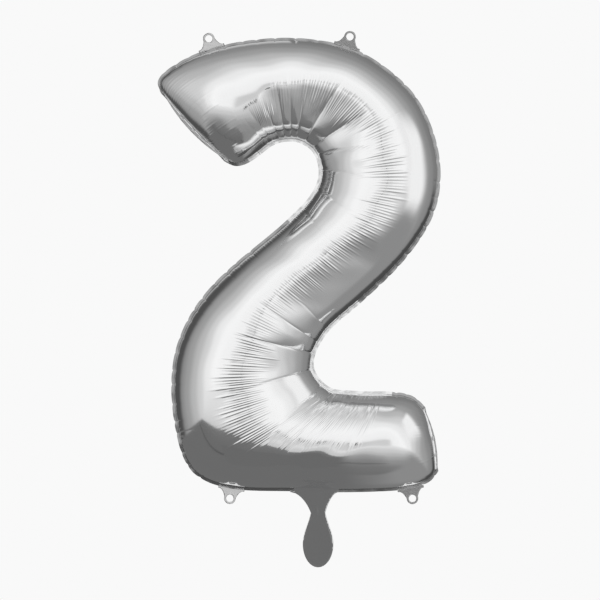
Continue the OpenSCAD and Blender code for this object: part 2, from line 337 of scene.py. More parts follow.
def pleats(s, across, bands, seed, pitch):
    """Rows of fine folds that run along the ribs, each with its own place, length and height."""
    rng = np.random.default_rng(seed)
    height = np.zeros_like(s)
    rows = s[:, 0]
    for first, last, centre, half, high in bands:
        start, stop = crest_length(first), crest_length(last)
        at = start
        while at < stop:
            edge = min(1.0, (at - start) / 25 + 0.35, (stop - at) / 25 + 0.35)
            size = high * rng.uniform(0.45, 1.35) * edge
            middle_across = centre + rng.normal(0, half * 0.16)
            reach = half * rng.uniform(0.7, 1.2)
            width = pitch * rng.uniform(0.24, 0.34)
            lean = rng.normal(0, 0.02)
            near = slice(*np.searchsorted(rows, [at - 4 * pitch, at + 4 * pitch]))
            x = s[near] - at - lean * (across[near] - middle_across)
            y = np.clip(1 - ((across[near] - middle_across) / reach) ** 2, 0, 1)
            height[near] += size * y**1.5 * np.exp(-(x / width) ** 2)
            at += pitch * rng.uniform(0.75, 1.25)
    return height


# Short pleats in from the end seams: (seam, reach in ribs, first and last angle, height, way in).
END_PLEATS = [(HOOK_SEAM, 2.5, 24, 172, 0.42, 1), (FOOT_SEAM, 1.7, 25, 120, 0.32, -1)]
END_PITCH = 4.6


def end_pleats(u, across, seed):
    """Rows of short folds that run in from the two end seams."""
    rng = np.random.default_rng(seed)
    height = np.zeros_like(u)
    for seam, reach, first, last, high, inwards in END_PLEATS:
        angle = first
        width_mm = float(np.linalg.norm(spline(CROWN_C, np.array(seam)) - spline(SOLE_C, np.array(seam))))
        while angle < last:
            step = END_PITCH * rng.uniform(0.75, 1.3)
            per_degree = width_mm / 2 * math.sin(math.radians(angle)) * math.pi / 180
            deep = reach * rng.uniform(0.5, 1.0)
            gone = (u - seam) * inwards
            x = (across - angle) * per_degree
            profile = smooth(gone, 0, 0.12 * deep) * np.clip(1 - gone / deep, 0, 1) ** 0.8
            size = high * rng.uniform(0.35, 1.3)
            height += size * profile * np.exp(-(x / (step * 0.28)) ** 2)
            angle += step / max(per_degree, 0.4)
    return height


# Slow waves: (length along in millimetres, length across in degrees, height).
UNDULATION = [(120.0, 70.0, 0.9), (75.0, 45.0, 0.5), (210.0, 110.0, 1.4)]


def undulation(s, across, seed):
    """Slow unevenness of the inflated film."""
    rng = np.random.default_rng(seed)
    total = np.zeros_like(s)
    for wave_s, wave_a, high in UNDULATION:
        for _ in range(2):
            along = np.sin(2 * np.pi * s / wave_s * rng.uniform(0.8, 1.2) + rng.uniform(0, 6.28))
            over = np.sin(2 * np.pi * across / wave_a * rng.uniform(0.8, 1.2) + rng.uniform(0, 6.28))
            total += high / 2 * along * over
    return total * np.sin(np.radians(across)) ** 2


# ---- Points of a foil ----

TAB_SPOTS = [("crown", 3.6), ("crown", 7.7), ("sole", 24.85), ("sole", 28.95)]
TAB_CALM = 26
NECK_RIBS = (26.2, 27.15)
CROWN_TAUT, SOLE_TAUT = (16.4, 27.9), (2.2, 15.6)


def tautness(u, ribs):
    """1 in the bays, where the seam is stretched straight."""
    return smooth(u, ribs[0] - 0.5, ribs[0] + 0.5) * smooth(u, ribs[1] + 0.5, ribs[1] - 0.5)


def flange_shift(u, crown_side):
    """Out-of-plane place of the weld's outer edge, still where a tab or the neck leaves it."""
    lengths = CROWN_S if crown_side else SOLE_S
    length = np.interp(u, U_FINE, lengths)
    wave = ripple(length, 21 if crown_side else 22)
    calm = np.ones_like(u)
    for edge, at in TAB_SPOTS:
        if (edge == "crown") == crown_side:
            here = np.interp(at, U_FINE, lengths)
            calm *= 1 - np.exp(-((length - here) / TAB_CALM) ** 2)
    if not crown_side:
        away = np.abs(u - np.mean(NECK_RIBS)) / (NECK_RIBS[1] - NECK_RIBS[0])
        calm *= 1 - np.exp(-np.clip(away, 0, 9) ** 4)
    taut = tautness(u, CROWN_TAUT if crown_side else SOLE_TAUT)
    return (wave + FLANGE_BACK * (1 - taut)) * calm


def base_points(u, across, inset):
    """Rib points before any fold, as X, Y, Z with Y towards the viewer counted negative."""
    a, b = spline(CROWN_C, u), spline(SOLE_C, u)
    along = (b - a) / np.linalg.norm(b - a, axis=-1, keepdims=True)
    ends = []
    for edge, controls, lengths, places, way, gone in (
            (a, CROWN_C, CROWN_S, CROWN_NOTCHES, 1, across),
            (b, SOLE_C, SOLE_S, SOLE_NOTCHES, -1, 180 - across)):
        d = direction(controls, u)
        slant = np.maximum(0.35, np.abs(along[..., 0] * d[..., 1] - along[..., 1] * d[..., 0]))
        pulled = NOTCH_DEPTH * pull(np.interp(u, U_FINE, lengths), places, NOTCH_WIDTH) * np.exp(-gone / 9)
        ends.append(edge + way * along * ((inset + pulled) / slant)[..., None])
    a, b = ends
    outwards = np.stack([along[..., 1], -along[..., 0]], -1)
    t = np.radians(across)
    flat = a + (b - a) * ((1 - np.cos(t)) / 2)[..., None] + outwards * (bow(u) * np.sin(t) ** 2)[..., None]
    high = along_ribs(DEPTH_C, u) * rise(u) * section(u, across)
    return np.stack([flat[..., 0], -high, flat[..., 1]], -1)


def foil_points(u, across, inset, seed):
    """One block of the foil's grid with all its folds. The front faces -Y."""
    points = base_points(u, across, inset)
    du, dt = 0.02, 1.0
    step_u = base_points(u + du, across, inset) - base_points(u - du, across, inset)
    lower, upper = np.clip(across - dt, 0, 180), np.clip(across + dt, 0, 180)
    step_t = base_points(u, upper, inset) - base_points(u, lower, inset)
    normal = np.cross(step_u, step_t)
    normal /= np.linalg.norm(normal, axis=-1, keepdims=True) + 1e-9
    normal *= -np.sign(normal[..., 1:2] + 1e-12)
    s = crest_length(u)
    height = crease_height(u, across, UPPER_CREASES, 180, seed + 1)
    height += crease_height(u, across, LOWER_CREASES, 0, seed + 2)
    height += pleats(s, across, PLEAT_BANDS, seed + 3, PLEAT_PITCH)
    height += pleats(s, across, SEAM_PLEATS, seed + 4, PLEAT_PITCH)
    height += end_pleats(u, across, seed + 5)
    height += undulation(s, across, seed + 6)
    for lengths, places, gone in ((CROWN_S, CROWN_NOTCHES, across), (SOLE_S, SOLE_NOTCHES, 180 - across)):
        dent = DENT_DEPTH * pull(np.interp(u, U_FINE, lengths), places, DENT_WIDTH)
        height -= dent * smooth(gone, 0, 4) * np.exp(-gone / 10)
    raised = (inset >= SEAM_W) & (u > HOOK_SEAM) & (u < FOOT_SEAM) & (across > 0) & (across < 180)
    height *= raised * np.minimum(1, rise(u) * 2.5)
    return points + normal * height[..., None]


def flange_lift(u, across, inset):
    """Waviness of the weld, which the two foils and the weld between them share."""
    outer = np.clip(1 - inset / SEAM_W, 0, 1)
    lift = np.where(across < 90, flange_shift(u, True), flange_shift(u, False)) * outer
    width = np.linalg.norm(spline(CROWN_C, u) - spline(SOLE_C, u), axis=-1)
    place = width * (1 - np.cos(np.radians(across))) / 2
    ends = ripple(place, 23) * np.sin(np.radians(across)) ** 0.5
    hook = ends * np.clip(1 - u / HOOK_SEAM, 0, 1)
    foot = ends * np.clip(1 - (LAST_RIB - u) / (LAST_RIB - FOOT_SEAM), 0, 1)
    return lift + hook + foot


# ---- Mesh making ----

def mesh_object(name, points_mm, faces):
    """A smooth-shaded mesh object from points in millimetres."""
    mesh = bpy.data.meshes.new(name)
    mesh.from_pydata((np.asarray(points_mm, float) * MM).tolist(), [], faces)
    mesh.validate()
    mesh.polygons.foreach_set("use_smooth", [True] * len(mesh.polygons))
    made = bpy.data.objects.new(name, mesh)
    bpy.context.scene.collection.objects.link(made)
    return made


# Grid of a foil. The dome has FINE times the steps across near the two ends.
DOME_STEPS = 38
FLANGE_INSETS = [0.0, 2.0, 4.0]
FINE = 6
MAIN_ROWS = 1850
HOOK_FINE_RIB, FOOT_FINE_RIB = 3.1, LAST_RIB - 2.1
HOOK_FINE_ROWS, FOOT_FINE_ROWS = 44, 30


def block(ribs, times, seed):
    """A stretch of foil: its points, the weld's lift, and its kind: 0 film, 1 puckered weld with painted
    shade and 2 taut weld.
    """
    dome = np.linspace(0, 180, DOME_STEPS * times + 1)
    u, across = np.meshgrid(ribs, np.concatenate([[0] * 3, dome, [180] * 3]), indexing="ij")
    insets = np.concatenate([FLANGE_INSETS, np.full(len(dome), SEAM_W), FLANGE_INSETS[::-1]])
    inset = np.broadcast_to(insets, u.shape)
    points = foil_points(u, across, inset, seed)
    lift = flange_lift(u, across, inset)
    # Faces of kind 1 get the puckered weld's painted shade, a darker copy of the weld foil.
    weld = ((inset < SEAM_W) | (u < HOOK_SEAM) | (u > FOOT_SEAM)).astype(int)
    weld *= ~((across > 90) & (u > NECK_RIBS[0]) & (u < NECK_RIBS[1]))
    first, last = (np.where(across < 90, *ribs_at) for ribs_at in zip(CROWN_TAUT, SOLE_TAUT))
    return points, lift, weld * (1 + ((u > first) & (u < last)))


def even_ribs(first, last, count):
    """Ribs at equal steps along the crest."""
    return rib_at(np.linspace(crest_length(first), crest_length(last), count))


def foil(name, back, seed):
    """A whole foil: fine grids at both ends for the pleats across the end seams, a long one between."""
    hook_ribs = np.append([0, 0.25, 0.5], even_ribs(HOOK_SEAM, HOOK_FINE_RIB, HOOK_FINE_ROWS))
    foot_ribs = np.append(even_ribs(FOOT_FINE_RIB, FOOT_SEAM, FOOT_FINE_ROWS), [LAST_RIB - 0.2, LAST_RIB])
    gap = 0.05
    main_ribs = even_ribs(HOOK_FINE_RIB + gap, FOOT_FINE_RIB - gap, MAIN_ROWS)
    blocks = [block(hook_ribs, FINE, seed), block(main_ribs, 1, seed), block(foot_ribs, FINE, seed)]
    points, faces, weld_faces, start, indices = [], [], [], 0, []
    sign = 1 if back else -1
    for grid, lift, weld in blocks:
        grid[..., 1] = sign * (OUTSIDE_Y - grid[..., 1]) + lift
        points.append(grid.reshape(-1, 3))
        index = start + np.arange(lift.size).reshape(lift.shape)
        corners = [index[:-1, :-1], index[1:, :-1], index[1:, 1:], index[:-1, 1:]]
        faces += np.stack(corners, -1).reshape(-1, 4).tolist()
        kind = np.minimum(np.maximum(weld[:-1, :-1], weld[:-1, 1:]), np.maximum(weld[1:, 1:], weld[1:, :-1]))
        weld_faces += kind.reshape(-1).tolist()
        indices.append(index)
        start += lift.size
    hook, main, foot = indices
    for fine_row, main_row, flip in ((hook[-1], main[0], False), (foot[0], main[-1], True)):
        fine_of = [0, 1, 2] + [3 + FINE * k for k in range(DOME_STEPS + 1)]
        fine_of += [fine_of[-1] + k for k in (1, 2, 3)]
        for k in range(len(main_row) - 1):
            ring = fine_row[fine_of[k]:fine_of[k + 1] + 1].tolist()
            face = ring[::-1] + [main_row[k], main_row[k + 1]]
            faces.append(face[::-1] if flip else face)
            weld_faces.append(k < 3 or k >= len(main_row) - 4)
    if back:
        faces = [f[::-1] for f in faces]
    made = mesh_object(name, np.concatenate(points), faces)
    made.data.polygons.foreach_set("material_index", np.array(weld_faces, int))
    return made


# The weld ends this far inside the foils' edges, in millimetres at the sides and in ribs at the ends.
WELD_INSET, WELD_END = 0.7, 0.03


def edge_stations(count):
    """Rib, angle across and inset of stations all round the weld's outer edge, and round its inner edge."""
    side, turns = even_ribs(0, LAST_RIB, count), np.linspace(0, 180, 160)[1:-1]
    outer, inner = [], []
    for angle, end, end_seam, way in ((0, LAST_RIB - WELD_END, FOOT_SEAM, 1), (180, WELD_END, HOOK_SEAM, -1)):
        outer += [(u, angle, WELD_INSET) for u in side[::way]] + [(end, t, SEAM_W) for t in turns[::way]]
        inner += [(np.clip(u, HOOK_SEAM, FOOT_SEAM), angle, SEAM_W) for u in side[::way]]
        inner += [(end_seam, t, SEAM_W) for t in turns[::way]]
    return np.array(outer, float), np.array(inner, float)


def seam_weld():
    """The weld between the two foils, a thin strip all round the figure."""
    half = OUTSIDE_Y - FOIL_T
    outer, inner = edge_stations(1500)
    rings = []
    for place, side in ((outer, -half), (outer, half), (inner, half), (inner, -half)):
        flat = base_points(place[:, 0], place[:, 1], place[:, 2])
        flat[:, 1] = flange_lift(place[:, 0], place[:, 1], place[:, 2]) + side
        rings.append(flat)
    points = np.stack(rings, 1).reshape(-1, 3)
    faces = []
    for i in range(0, len(points), 4):
        j = (i + 4) % len(points)
        faces += [[i + k, j + k, j + n, i + n] for k, n in ((0, 1), (1, 2), (2, 3), (3, 0))]
    return mesh_object("seam_weld", points, faces)


def divided(loop, pitch):
    """A closed outline with points added, so that its edges can follow a wavy surface."""
    loop = np.array(loop, float)
    points = []
    for start, end in zip(loop, np.roll(loop, -1, 0)):
        steps = max(1, math.ceil(np.linalg.norm(end - start) / pitch))
        points += [start + (end - start) * k / steps for k in range(steps)]
    return np.array(points)


def film_solid(name, outline, thickness, lift, spacing, hole=None, seed=5, y_mid=0.0, rings=()):
    """A thin solid film with a flat outline in X and Z, laid over the surface y = lift(x, z)."""
    loops = [divided(loop, spacing) for loop in (outline, hole) if loop is not None]

    def on_film(points, margin):
        kept = inside(points, loops[0], margin)
        for loop in loops[1:]:
            kept &= ~inside(points, loop, -margin)
        return kept

    rng = np.random.default_rng(seed)
    low, high = loops[0].min(0), loops[0].max(0)
    xs, zs = np.meshgrid(np.arange(low[0], high[0], spacing), np.arange(low[1], high[1], spacing))
    inner = np.column_stack([xs.ravel(), zs.ravel()])
    inner += rng.uniform(-0.25, 0.25, inner.shape) * spacing
    inner = inner[on_film(inner, spacing * 0.4)]
    flat = [Vector(p) for points in (*loops, inner, *rings) for p in points]
    edges, start = [], 0
    for loop in loops:
        edges += [(start + i, start + (i + 1) % len(loop)) for i in range(len(loop))]
        start += len(loop)
    verts, _, tris, *_ = delaunay_2d_cdt(flat, edges, [], 0, 1e-6)
    verts, tris = np.array([(v.x, v.y) for v in verts]), np.array(tris)
    tris = tris[on_film(verts[tris].mean(1), 0)]
    a, b, c = verts[tris[:, 0]], verts[tris[:, 1]], verts[tris[:, 2]]
    turn = (b - a)[:, 0] * (c - a)[:, 1] - (b - a)[:, 1] * (c - a)[:, 0]
    tris[turn < 0] = tris[turn < 0][:, ::-1]
    y = lift(verts[:, 0], verts[:, 1]) + y_mid
    count = len(verts)
    half = thickness / 2
    front, back = (np.column_stack([verts[:, 0], y + way * half, verts[:, 1]]) for way in (-1, 1))
    faces = tris.tolist() + (tris[:, ::-1] + count).tolist()
    sides = dict.fromkeys((t[k], t[(k + 1) % 3]) for t in tris.tolist() for k in range(3))
    faces += [[j, i, i + count, j + count] for i, j in sides if (j, i) not in sides]
    return mesh_object(name, np.vstack([front, back]), faces)


def line_gap(x, z, line):
    """Distance from a line through the given points."""
    nearest = np.full(np.shape(x), 1e9)
    for (x1, z1), (x2, z2) in zip(line[:-1], line[1:]):
        length2 = max((x2 - x1) ** 2 + (z2 - z1) ** 2, 1e-12)
        t = np.clip(((x - x1) * (x2 - x1) + (z - z1) * (z2 - z1)) / length2, 0, 1)
        nearest = np.minimum(nearest, np.hypot(x - x1 - t * (x2 - x1), z - z1 - t * (z2 - z1)))
    return nearest


def inside(points, outline, margin):
    """Which points lie inside an outline, at least a margin from it. A negative margin takes in more."""
    x, z = points[:, 0], points[:, 1]
    result = np.zeros(len(points), bool)
    for (x1, z1), (x2, z2) in zip(outline, np.roll(outline, -1, 0)):
        crosses = (z1 > z) != (z2 > z)
        with np.errstate(divide="ignore", invalid="ignore"):
            at = (x2 - x1) * (z - z1) / (z2 - z1) + x1
        result ^= crosses & (x < at)
    nearest = line_gap(x, z, np.vstack([outline, outline[:1]]))
    if margin < 0:
        return result | (nearest < -margin)
    return result & (nearest >= margin)


# ---- Materials ----

class Tree:
    """A node tree, with short calls for the nodes that the looks are built from."""

    def __init__(self, tree):
        self.nodes, self.links = tree.nodes, tree.links

    def noise(self, scale, detail):
        """Noise over the object's own coordinates."""
        texture = self.nodes.new("ShaderNodeTexNoise")
        texture.inputs["Scale"].default_value = scale
        texture.inputs["Detail"].default_value = detail
        self.links.new(self.nodes.new("ShaderNodeTexCoord").outputs["Object"], texture.inputs["Vector"])
        return texture.outputs["Fac"]

    def spread(self, value, to, span=(0.0, 1.0), kind="LINEAR"):
        """The value brought from one span to another."""
        node = self.nodes.new("ShaderNodeMapRange")
        node.interpolation_type = kind
        for name, number in zip(("From Min", "From Max", "To Min", "To Max"), (*span, *to)):
            node.inputs[name].default_value = number
        self.links.new(value, node.inputs["Value"])
        return node.outputs["Result"]

    def step(self, value, low, high):
        """0 below low and 1 above high, with a smooth change between."""
        return self.spread(value, (0.0, 1.0), (low, high), "SMOOTHSTEP")

    def math(self, operation, *values):
        node = self.nodes.new("ShaderNodeMath")
        node.operation = operation
        for socket, value in zip(node.inputs, values):
            if isinstance(value, (int, float)):
                socket.default_value = value
            else:
                self.links.new(value, socket)
        return node.outputs[0]

    def times(self, one, other):
        return self.math("MULTIPLY", one, other)

    def band(self, value, start, full, fade, stop):
        """1 between full and fade, 0 outside start and stop."""
        return self.times(self.step(value, start, full), self.step(value, stop, fade))

    def mix(self, share, low, high):
        """low where share is 0 and high where it is 1."""
        rest = self.math("SUBTRACT", 1.0, share)
        return self.math("ADD", self.times(rest, low), self.times(share, high))

    def ramp(self, value, stops, low, high):
        """Tones at places between low and high."""
        node = self.nodes.new("ShaderNodeValToRGB")
        self.links.new(self.spread(value, (0.0, 1.0), (low, high)), node.inputs["Fac"])
        while len(node.color_ramp.elements) < len(stops):
            node.color_ramp.elements.new(0.5)
        for element, (place, tone) in zip(node.color_ramp.elements, stops):
            element.position = (place - low) / (high - low)
            element.color = (grey(tone),) * 3 + (1,)
        node.color_ramp.interpolation = "EASE"
        return node.outputs["Color"]

    def colour(self, shader, value, low, high):
        """Base colour that wanders between two colours with a value."""
        node = self.nodes.new("ShaderNodeValToRGB")
        for element, colour in zip(node.color_ramp.elements, (low, high)):
            element.color = (*colour, 1)
        self.links.new(value, node.inputs["Fac"])
        self.links.new(node.outputs["Color"], shader.inputs["Base Color"])

    def place(self, kind):
        """X, Y and Z of a texture coordinate."""
        split = self.nodes.new("ShaderNodeSeparateXYZ")
        self.links.new(self.nodes.new("ShaderNodeTexCoord").outputs[kind], split.inputs["Vector"])
        return split.outputs

    def shade(self, share, first, second, output):
        """Shows the second shader where share is 1, and the first where it is 0."""
        node = self.nodes.new("ShaderNodeMixShader")
        for socket, source in zip(node.inputs, (share, first.outputs[0], second.outputs[0])):
            self.links.new(source, socket)
        self.links.new(node.outputs["Shader"], output.inputs["Surface"])

    def bump(self, shader, value, strength, distance):
        node = self.nodes.new("ShaderNodeBump")
        node.inputs["Strength"].default_value = strength
        node.inputs["Distance"].default_value = distance
        self.links.new(value, node.inputs["Height"])
        self.links.new(node.outputs["Normal"], shader.inputs["Normal"])


def grey(value):
    """Linear tone of an sRGB grey from 0 to 255."""
    c = value / 255
    return c / 12.92 if c <= 0.04045 else ((c + 0.055) / 1.055) ** 2.4


def new_material(name):
    """A material, its node tree and its shader."""
    material = bpy.data.materials.new(name)
    material.use_nodes = True
    tree = Tree(material.node_tree)
    return material, tree, tree.nodes["Principled BSDF"]


def foil_material(name, tone, rough, grain, grain_depth):
    """Silver metallised film: a soft mirror with a faint uneven haze."""
    material, tree, shader = new_material(name)
    shader.inputs["Metallic"].default_value = 1.0
    tree.links.new(tree.spread(tree.noise(22.0, 4.0), rough), shader.inputs["Roughness"])
    tree.colour(shader, tree.noise(9.0, 2.0), (tone * 0.97, tone * 0.975, tone * 0.98), (tone,) * 3)
    tree.bump(shader, tree.noise(grain, 2.0), 0.35, grain_depth)
    return material


def clear_material(name, tone, rough):
    """Clear crinkly polymer film."""
    material, tree, shader = new_material(name)
    shader.inputs["Base Color"].default_value = (tone, tone, tone, 1)
    shader.inputs["Transmission Weight"].default_value = 1.0
    shader.inputs["IOR"].default_value = 1.5
    tree.links.new(tree.spread(tree.noise(60.0, 3.0), (rough * 0.5, rough * 1.5)), shader.inputs["Roughness"])
    tree.bump(shader, tree.noise(240.0, 3.0), 0.4, 0.0006)
    return material


def print_material(name, colour):
    """A printed heat-resistant strip."""
    material, tree, shader = new_material(name)
    shader.inputs["Roughness"].default_value = 0.55
    tree.colour(shader, tree.noise(500.0, 2.0), [c * 0.85 for c in colour], colour)
    return material


SILVER = foil_material("silver_foil", 0.94, (0.06, 0.12), 900.0, 0.00002)
# Painted shade: the puckered weld is the weld foil darkened to stand in for the shade of its fine wrinkles.
PAINTED_SHADE_WELD = foil_material("puckered_weld_painted_shade", 0.42, (0.26, 0.38), 700.0, 0.00005)
SMOOTH_WELD = foil_material("smooth_weld", 0.90, (0.16, 0.26), 700.0, 0.00006)
WELD = foil_material("weld_line", 0.72, (0.30, 0.42), 600.0, 0.0001)
CLEAR = clear_material("clear_tab_film", 0.97, 0.10)
VALVE = clear_material("valve_film", 0.94, 0.16)
PRINT = print_material("release_print", (0.30, 0.42, 0.60))


def give(piece, body, slot, *materials):
    """Material and body of a new piece; the finish slot is not used."""
    for material in materials:
        piece.data.materials.append(material)
    if body:
        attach(piece, body)
    return piece


# ---- The balloon's body ----

def body_foils():
    front = foil("front_foil", False, 100)
    give(front, "root", "foil", SILVER, PAINTED_SHADE_WELD, SMOOTH_WELD)
    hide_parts("front_panel")
    back = foil("back_foil", True, 200)
    give(back, "root", "foil", SILVER, PAINTED_SHADE_WELD, SMOOTH_WELD)
    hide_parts("back_panel")
    weld = seam_weld()
    give(weld, "root", "weld", WELD)
    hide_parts("perimeter_heat_seal")


# ---- Neck and tail ----

NECK_HALF, TAIL_HALF, TAIL_LENGTH, BELLY_Z = 14.0, 29.0, 104.0, -60.0
FLARE_TOP, FLARE_HEEL, FLARE_TOE, FLARE_STRAIGHT = 39.5, 39.0, 25.0, 0.35
TAIL_FOLD_Z, TAIL_HANG_Z = -5.0, -16
TAIL_TILT = math.tan(math.radians(4))
TAIL_SEAL_W, SEAL_RIDGE = 4.0, 0.13
TUCK_DEPTH = 0.11
FILLING_HOLE_R = 6.0
VALVE_HALF, VALVE_WELD_SHARE, VALVE_THINNED = 11.0, 5 / 22, 0.8
FILM_STEP = 1.8


def flare(z, wide):
    """Half width of the neck where it spreads into the sole."""
    share = np.clip(z / FLARE_TOP, 0, 1)
    return NECK_HALF + wide * (FLARE_STRAIGHT * share + (1 - FLARE_STRAIGHT) * (1 - np.sqrt(1 - share**2)))


def tail_half(z):
    """Half width of the tail."""
    turn = np.radians(90 * z / BELLY_Z)
    swell = (np.sin(turn) + (1 - np.cos(2 * turn)) / 2) / 2
    upper = NECK_HALF + (TAIL_HALF - NECK_HALF) * swell
    lower = TAIL_HALF * np.sqrt(np.clip(1 - ((z - BELLY_Z) / (TAIL_LENGTH + BELLY_Z)) ** 2, 0, 1))
    return np.where(z < BELLY_Z, lower, upper)


def neck_tail_outline(inset=0.0):
    """The neck and the tail in one, from the weld of the sole down round the tail's tip."""
    up = np.linspace(0, FLARE_TOP, 16)
    rounds = np.linspace(0, BELLY_Z, 22)[1:]
    tip = TAIL_LENGTH + BELLY_Z
    tips = BELLY_Z - (tip - inset) * np.sin(np.linspace(0, np.pi / 2, 18)[1:])
    down = np.concatenate([rounds, tips])
    in_tip = down < BELLY_Z
    halves = tail_half(np.where(in_tip, BELLY_Z + (down - BELLY_Z) * (tip / (tip - inset)), down))
    narrowed = np.where(in_tip, np.clip(1 + (down - BELLY_Z) / (tip - inset), 0, 1) ** 0.5, 1)
    halves = np.maximum(halves - inset * narrowed, 0)
    top = FLARE_TOP + 3
    left = [(-flare(FLARE_TOP, FLARE_HEEL) + inset, top)]
    left += [(-flare(z, FLARE_HEEL) + inset, z) for z in up[::-1]]
    left += [(-h, z) for h, z in zip(halves, down)]
    right = [(h, z) for h, z in zip(halves[:-1][::-1], down[:-1][::-1])]
    right += [(flare(z, FLARE_TOE) - inset, z) for z in up]
    right += [(flare(FLARE_TOP, FLARE_TOE) - inset, top)]
    return left + right


def tail_surface(x, z):
    """The film hangs a little back from the seam's plane, with soft gathers at the neck."""
    hang = TAIL_TILT * np.logaddexp(0, (TAIL_HANG_Z - z) / 4) * 4
    gather = np.exp(-((z - 4) / 16) ** 2) * (0.22 * np.sin(x * 0.42 + 1) + 0.1 * np.sin(x * 0.8))
    slow = 0.7 * np.sin(z * 0.055 + 0.28) * np.sin(x * 0.05 + 0.6)
    return hang + slow * smooth(-z, 5, 30) + gather * smooth(FLARE_TOP - z, 0, 20)


def seal_rings():
    """Points along the tail's weld line, in rows close enough to shape its ridge."""
    rings = []
    for inset in (3.1, 3.6, 4.0, 4.4, 4.9):
        ring = np.array(neck_tail_outline(inset))
        ring = ring[ring[:, 1] < -8]
        steps = run_length(ring)
        even = np.arange(0, steps[-1], 1.5)
        rings.append(np.column_stack([np.interp(even, steps, ring[:, axis]) for axis in (0, 1)]))
    return rings


def weld_ridge(x, z):
    """The tail's weld stands a little above the film inside it."""
    near = np.abs(line_gap(x, z, neck_tail_outline()) - TAIL_SEAL_W)
    return -SEAL_RIDGE * np.exp(-(near / 0.7) ** 2) * smooth(-z, 10, 22)


def tuck(z):
    """The neck's foil slips just under the weld of the figure's foil."""
    return TUCK_DEPTH * smooth(z, 36, 40)


def circle(x, z, radius, steps=40):
    """Points round a circle."""
    turns = np.linspace(0, 2 * np.pi, steps, endpoint=False)
    return [(x + radius * math.cos(t), z + radius * math.sin(t)) for t in turns]


def rectangle(x0, x1, z0, z1):
    return [(x0, z0), (x1, z0), (x1, z1), (x0, z1)]


def neck_and_tail():
    """The neck's foils run on into the tail's, and bend at the fold. Between them lie their welds."""
    outline = neck_tail_outline()
    for side, way, hole in (("front", -1, None), ("back", 1, circle(0, BELLY_Z, FILLING_HOLE_R))):
        def lift(x, z):
            return tail_surface(x, z) - way * (weld_ridge(x, z) + tuck(z))

        name, y_mid = f"neck_tail_{side}_foil", way * (OUTSIDE_Y - FOIL_T / 2)
        piece = film_solid(name, outline, FOIL_T, lift, FILM_STEP, hole, 31, y_mid, seal_rings())
        give(piece, None, "neck_foil", SILVER)
        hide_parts(f"neck_{side}_foil", f"tail_{side}_foil")
        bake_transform(piece)
    inner_t = 2 * (OUTSIDE_Y - FOIL_T) - 0.04
    outline = np.array(outline)
    tail = outline[outline[:, 1] < TAIL_FOLD_Z - 1]
    core = np.array(neck_tail_outline(TAIL_SEAL_W))
    core = core[core[:, 1] < TAIL_FOLD_Z - 1.6]
    piece = film_solid("tail_weld", tail, inner_t, tail_surface, FILM_STEP, core, 32)
    give(piece, "tail", "weld", WELD)
    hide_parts("tail_edge_seal")
    for side in (-1, 1):
        half = outline[(outline[:, 0] * side > 0) & (outline[:, 1] > TAIL_FOLD_Z + 1)]
        half = half[np.argsort(half[:, 1])]
        flank = half.tolist() + [(side * VALVE_HALF, half[row, 1]) for row in (-1, 0)]
        name = "neck_weld_left" if side < 0 else "neck_weld_right"
        piece = film_solid(name, flank, inner_t, tail_surface, FILM_STEP)
        give(piece, "root", "weld", WELD)
        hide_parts("neck_side_welds")


def valve():
    """The valve's films lie in the neck and the tail and follow them; its free sleeve stands straight."""
    films = {"valve_neck_front_film": VALVE, "valve_neck_back_film": VALVE, "valve_inlet_front_film": VALVE,
             "valve_inlet_back_film": VALVE, "valve_release_print": PRINT, "valve_neck_side_welds": WELD}
    for node, material in films.items():
        low, high = (np.array(corner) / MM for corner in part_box(node))
        spans = {"": (low[0], high[0])}
        if node == "valve_neck_side_welds":
            strip = (high[0] - low[0]) * VALVE_WELD_SHARE
            spans = {"_left": (low[0], low[0] + strip), "_right": (high[0] - strip, high[0])}
        hole = circle(0, BELLY_Z, FILLING_HOLE_R) if node == "valve_inlet_back_film" else None
        thick, y_mid = (high[1] - low[1]) * VALVE_THINNED, (high[1] + low[1]) / 2
        for suffix, (x0, x1) in spans.items():
            name, outline = "soft_" + node + suffix, rectangle(x0, x1, low[2], high[2])
            piece = film_solid(name, outline, thick, tail_surface, FILM_STEP, hole, 33, y_mid)
            slot = {PRINT: "release_print", WELD: "weld", VALVE: "valve_film"}[material]
            give(piece, "tail" if "inlet" in node else "root", slot, material)
            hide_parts(node)


def still_nodes():
    """The valve's sleeve stays as the CAD made it, with its own materials."""
    for part, material in (("front_film", VALVE), ("back_film", VALVE), ("side_welds", WELD)):
        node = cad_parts["valve_sleeve_" + part]
        node.data.materials.clear()
        node.data.materials.append(material)


# ---- Hanging tabs ----

TAB_BASE, TAB_LENGTH, TAB_TIP_R, TAB_HOLE_R = 50.0, 28.0, 11.0, 7.0
TAB_FOLD_OUT, TAB_IN, TAB_T, TAB_STEP = 1.5, 3.5, 0.3, 1.3
TAB_NAMES = ["top_left", "top_right", "bottom_left", "bottom_right"]


def tab_outline():
    """A tab with its fold on the X axis and its tip along +Y: wide shoulders, then a ring."""
    inner = -TAB_FOLD_OUT - TAB_IN
    out = TAB_LENGTH - TAB_TIP_R
    right = [(TAB_BASE / 2, inner), (TAB_BASE / 2, 0.5)]
    for k in np.linspace(0, 1, 9)[1:]:
        right.append((TAB_BASE / 2 + (TAB_TIP_R - TAB_BASE / 2) * k**0.7, 0.5 + (out - 3) * k**1.8))
    turns = np.linspace(0, np.pi, 26)
    ring = [(TAB_TIP_R * math.cos(t), out + TAB_TIP_R * math.sin(t)) for t in turns]
    left = [(-x, y) for x, y in right[::-1]]
    return right + ring + left


